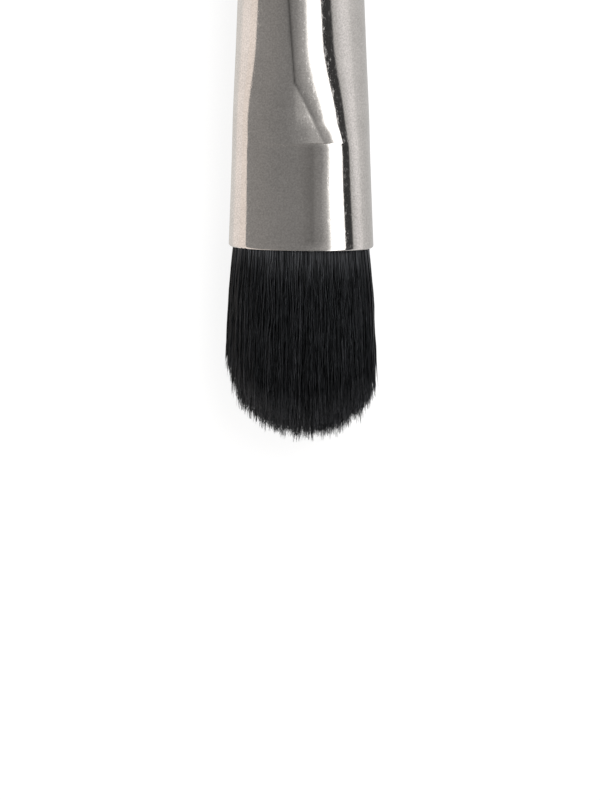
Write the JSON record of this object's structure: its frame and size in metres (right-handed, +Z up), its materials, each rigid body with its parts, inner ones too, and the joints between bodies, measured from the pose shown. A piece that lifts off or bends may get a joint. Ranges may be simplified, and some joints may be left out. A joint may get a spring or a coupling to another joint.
{
  "type": "eyebrow brush",
  "caption": "Slim cosmetic brush with a domed flat tuft of dark bristles in a polished ferrule pressed from round to flat, on a turned lacquered handle with a straight barrel and tapered tail.",
  "frame": {"origin": "under the middle of the brush's length, on the surface that its barrel lies on", "axes": "+Y along the brush from tuft to tail, +X across the tuft's broad face, +Z up out of the broad face"},
  "size_m": [0.0096, 0.1672, 0.0083],
  "materials": {
    "lacquered_wood": "gloss black lacquer on turned wood",
    "nickel": "polished nickel plate",
    "wood_glue": "set glue",
    "potted_roots": "hair roots set in resin",
    "thread": "wound thread",
    "epoxy": "set resin",
    "bristle": "fine tapered filament with a soft sheen"
  },
  "bodies": {
    "brush_body": {"handle": "lacquered_wood", "ferrule": "nickel", "handle_glue": "wood_glue", "root_bundle": "potted_roots", "root_tie": "thread", "epoxy_plug": "epoxy"},
    "tuft": {"bristles_back": "bristle", "bristles_inner_back": "bristle", "bristles_inner_front": "bristle", "bristles_front": "bristle"}
  },
  "joints": [
    {"name": "tuft_flex", "type": "hinge", "parent": "brush_body", "child": "tuft", "pos_m": [0, -0.0717, 0.00417], "axis": [1, 0, 0], "range_deg": [-20, 20], "stiffness_Nm_per_rad": 0.001}
  ]
}
